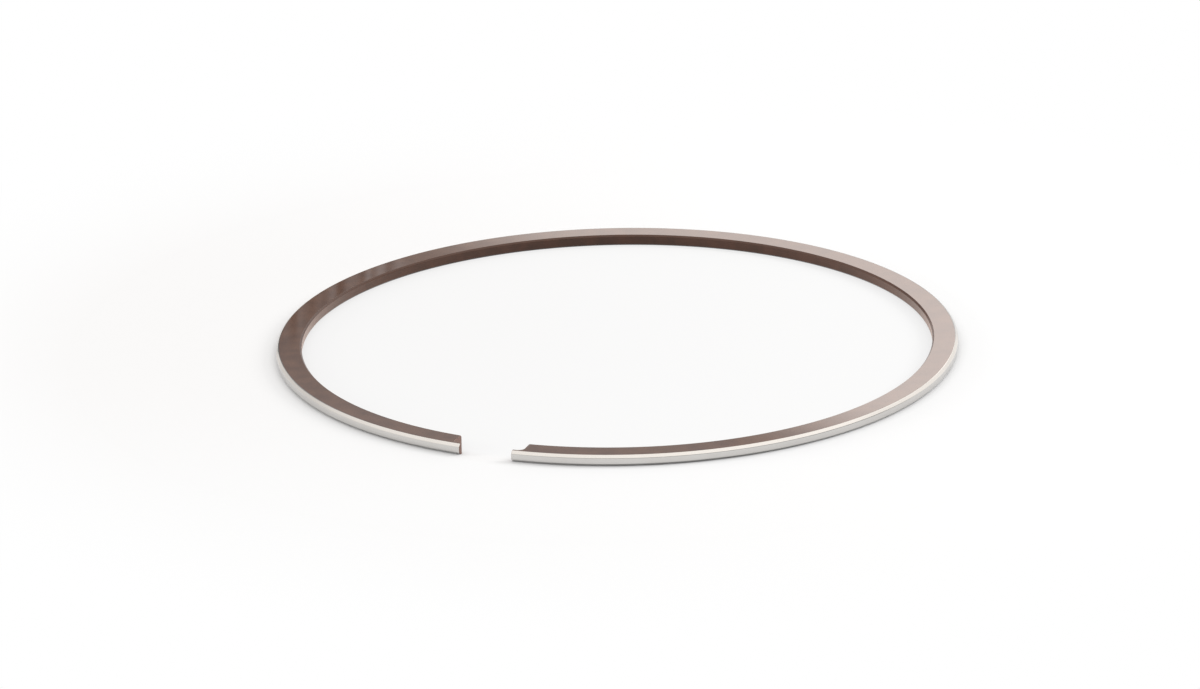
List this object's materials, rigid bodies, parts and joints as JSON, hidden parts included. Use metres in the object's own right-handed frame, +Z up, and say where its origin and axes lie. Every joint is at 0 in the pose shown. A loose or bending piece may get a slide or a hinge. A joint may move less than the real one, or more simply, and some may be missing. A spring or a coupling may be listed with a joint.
{
  "type": "piston ring",
  "caption": "Open steel piston ring lying flat, coated brown with a chromed, chamfered outer face and pin notches at its ends; seals a piston in its bore.",
  "frame": {"origin": "middle of the ring's outline on the plane of its lower side face", "axes": "+Z up out of the lower side face, along the ring's axis; the end gap faces -Y and the ring is alike on both sides of X = 0"},
  "size_m": [0.074, 0.0731, 0.0012],
  "materials": {
    "coated_steel": "brown phosphate-type coat with a satin gloss on the sides, back and ends; bright hard chrome on the running face"
  },
  "bodies": {
    "root": {"piston_ring": "coated_steel"}
  },
  "joints": []
}
